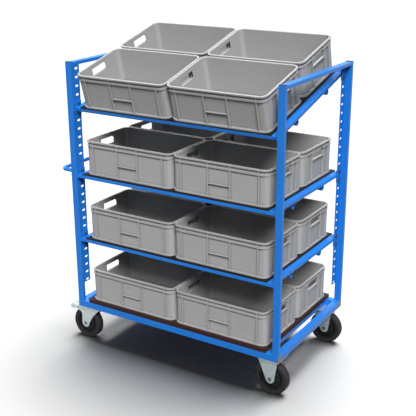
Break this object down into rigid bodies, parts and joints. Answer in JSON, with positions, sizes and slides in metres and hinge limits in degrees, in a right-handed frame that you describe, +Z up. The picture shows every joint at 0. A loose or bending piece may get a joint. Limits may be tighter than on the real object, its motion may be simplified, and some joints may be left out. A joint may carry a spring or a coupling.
{
  "type": "order picking trolley",
  "caption": "Tube-frame picking trolley on castors with a deck, level shelves and a sloping top shelf, each carrying removable moulded containers, and a push handle at one end.",
  "frame": {"origin": "middle of the footprint, on the floor that the wheels stand on", "axes": "+Z up, +X along the trolley from the push handle to the fixed castors, +Y from the picking side, where the top shelf is low, to the rear"},
  "size_m": [1.523, 0.8746, 1.8913],
  "materials": {
    "blue_enamel": "gloss enamel",
    "plywood": "film-faced",
    "shelf_board": "film-faced",
    "container_plastic": "moulded",
    "cap_plastic": "moulded",
    "rail_cap_plastic": "moulded",
    "zinc_plate": "zinc plated",
    "dark_steel": "zinc plated",
    "bearing_black": "satin",
    "tyre_rubber": "matt rubber",
    "hub_plastic": "moulded"
  },
  "bodies": {
    "frame": {"base_front_rail": "blue_enamel", "base_rear_rail": "blue_enamel", "base_end_rails": "blue_enamel", "base_cross_members": "blue_enamel", "base_rail_caps": "rail_cap_plastic", "deck_panel": "plywood", "front_left_upright": "blue_enamel", "front_right_upright": "blue_enamel", "rear_left_upright": "blue_enamel", "rear_right_upright": "blue_enamel", "upright_caps": "cap_plastic", "slotted_strips": "blue_enamel", "top_rails": "blue_enamel", "push_handle": "blue_enamel", "lower_shelf_frame": "blue_enamel", "lower_shelf_panel": "shelf_board", "lower_shelf_tubes": "blue_enamel", "middle_shelf_frame": "blue_enamel", "middle_shelf_panel": "shelf_board", "middle_shelf_tubes": "blue_enamel", "sloped_shelf_frame": "blue_enamel", "sloped_shelf_panel": "shelf_board", "sloped_shelf_tubes": "blue_enamel", "shelf_bolts": "dark_steel", "swivel_top_plates": "zinc_plate", "swivel_bearings": "bearing_black", "fixed_axles": "zinc_plate", "castor_bolts": "zinc_plate", "front_fixed_bracket": "zinc_plate", "rear_fixed_bracket": "zinc_plate"},
    "front_swivel": {"front_swivel_fork": "zinc_plate", "front_fork_pins": "zinc_plate"},
    "front_pedal": {"front_brake_pedal": "zinc_plate"},
    "rear_swivel": {"rear_swivel_fork": "zinc_plate", "rear_fork_pins": "zinc_plate"},
    "rear_pedal": {"rear_brake_pedal": "zinc_plate"},
    "front_left_wheel": {"front_left_tyre": "tyre_rubber", "front_left_hub": "hub_plastic"},
    "front_right_wheel": {"front_right_tyre": "tyre_rubber", "front_right_hub": "hub_plastic"},
    "rear_left_wheel": {"rear_left_tyre": "tyre_rubber", "rear_left_hub": "hub_plastic"},
    "rear_right_wheel": {"rear_right_tyre": "tyre_rubber", "rear_right_hub": "hub_plastic"},
    "deck_container_front_left": {"deck_container_front_left": "container_plastic"},
    "deck_container_front_right": {"deck_container_front_right": "container_plastic"},
    "deck_container_rear_left": {"deck_container_rear_left": "container_plastic"},
    "deck_container_rear_right": {"deck_container_rear_right": "container_plastic"},
    "lower_container_front_left": {"lower_container_front_left": "container_plastic"},
    "lower_container_front_right": {"lower_container_front_right": "container_plastic"},
    "lower_container_rear_left": {"lower_container_rear_left": "container_plastic"},
    "lower_container_rear_right": {"lower_container_rear_right": "container_plastic"},
    "middle_container_front_left": {"middle_container_front_left": "container_plastic"},
    "middle_container_front_right": {"middle_container_front_right": "container_plastic"},
    "middle_container_rear_left": {"middle_container_rear_left": "container_plastic"},
    "middle_container_rear_right": {"middle_container_rear_right": "container_plastic"},
    "sloped_container_front_left": {"sloped_container_front_left": "container_plastic"},
    "sloped_container_front_right": {"sloped_container_front_right": "container_plastic"},
    "sloped_container_rear_left": {"sloped_container_rear_left": "container_plastic"},
    "sloped_container_rear_right": {"sloped_container_rear_right": "container_plastic"}
  },
  "joints": [
    {"name": "front_castor_swivel", "type": "hinge", "parent": "frame", "child": "front_swivel", "pos_m": [-0.5965, -0.3407, 0.2127], "axis": [0, 0, 1], "continuous": true},
    {"name": "front_brake_press", "type": "hinge", "parent": "front_swivel", "child": "front_pedal", "pos_m": [-0.6945, -0.3407, 0.1952], "axis": [0, -1, 0], "range_deg": [0, 15]},
    {"name": "front_left_wheel_spin", "type": "hinge", "parent": "front_swivel", "child": "front_left_wheel", "pos_m": [-0.6425, -0.3407, 0.1], "axis": [0, 1, 0], "continuous": true},
    {"name": "front_right_wheel_spin", "type": "hinge", "parent": "frame", "child": "front_right_wheel", "pos_m": [0.6615, -0.3407, 0.1], "axis": [0, 1, 0], "continuous": true},
    {"name": "rear_castor_swivel", "type": "hinge", "parent": "frame", "child": "rear_swivel", "pos_m": [-0.5965, 0.3733, 0.2127], "axis": [0, 0, 1], "continuous": true},
    {"name": "rear_brake_press", "type": "hinge", "parent": "rear_swivel", "child": "rear_pedal", "pos_m": [-0.6945, 0.3733, 0.1952], "axis": [0, -1, 0], "range_deg": [0, 15]},
    {"name": "rear_left_wheel_spin", "type": "hinge", "parent": "rear_swivel", "child": "rear_left_wheel", "pos_m": [-0.6425, 0.3733, 0.1], "axis": [0, 1, 0], "continuous": true},
    {"name": "rear_right_wheel_spin", "type": "hinge", "parent": "frame", "child": "rear_right_wheel", "pos_m": [0.6615, 0.3733, 0.1], "axis": [0, 1, 0], "continuous": true},
    {"name": "deck_container_front_left_out", "type": "slide", "parent": "frame", "child": "deck_container_front_left", "axis": [0, -1, 0], "range_m": [0, 0.42]},
    {"name": "deck_container_front_right_out", "type": "slide", "parent": "frame", "child": "deck_container_front_right", "axis": [0, -1, 0], "range_m": [0, 0.42]},
    {"name": "deck_container_rear_left_out", "type": "slide", "parent": "frame", "child": "deck_container_rear_left", "axis": [0, 1, 0], "range_m": [0, 0.42]},
    {"name": "deck_container_rear_right_out", "type": "slide", "parent": "frame", "child": "deck_container_rear_right", "axis": [0, 1, 0], "range_m": [0, 0.42]},
    {"name": "lower_container_front_left_out", "type": "slide", "parent": "frame", "child": "lower_container_front_left", "axis": [0, -1, 0], "range_m": [0, 0.42]},
    {"name": "lower_container_front_right_out", "type": "slide", "parent": "frame", "child": "lower_container_front_right", "axis": [0, -1, 0], "range_m": [0, 0.42]},
    {"name": "lower_container_rear_left_out", "type": "slide", "parent": "frame", "child": "lower_container_rear_left", "axis": [0, 1, 0], "range_m": [0, 0.42]},
    {"name": "lower_container_rear_right_out", "type": "slide", "parent": "frame", "child": "lower_container_rear_right", "axis": [0, 1, 0], "range_m": [0, 0.42]},
    {"name": "middle_container_front_left_out", "type": "slide", "parent": "frame", "child": "middle_container_front_left", "axis": [0, -1, 0], "range_m": [0, 0.42]},
    {"name": "middle_container_front_right_out", "type": "slide", "parent": "frame", "child": "middle_container_front_right", "axis": [0, -1, 0], "range_m": [0, 0.42]},
    {"name": "middle_container_rear_left_out", "type": "slide", "parent": "frame", "child": "middle_container_rear_left", "axis": [0, 1, 0], "range_m": [0, 0.42]},
    {"name": "middle_container_rear_right_out", "type": "slide", "parent": "frame", "child": "middle_container_rear_right", "axis": [0, 1, 0], "range_m": [0, 0.42]},
    {"name": "sloped_container_front_left_out", "type": "slide", "parent": "frame", "child": "sloped_container_front_left", "axis": [0, -0.259, 0.9659], "range_m": [0, 0.3]},
    {"name": "sloped_container_front_right_out", "type": "slide", "parent": "frame", "child": "sloped_container_front_right", "axis": [0, -0.259, 0.9659], "range_m": [0, 0.3]},
    {"name": "sloped_container_rear_left_out", "type": "slide", "parent": "frame", "child": "sloped_container_rear_left", "axis": [0, -0.259, 0.9659], "range_m": [0, 0.3]},
    {"name": "sloped_container_rear_right_out", "type": "slide", "parent": "frame", "child": "sloped_container_rear_right", "axis": [0, -0.259, 0.9659], "range_m": [0, 0.3]}
  ]
}
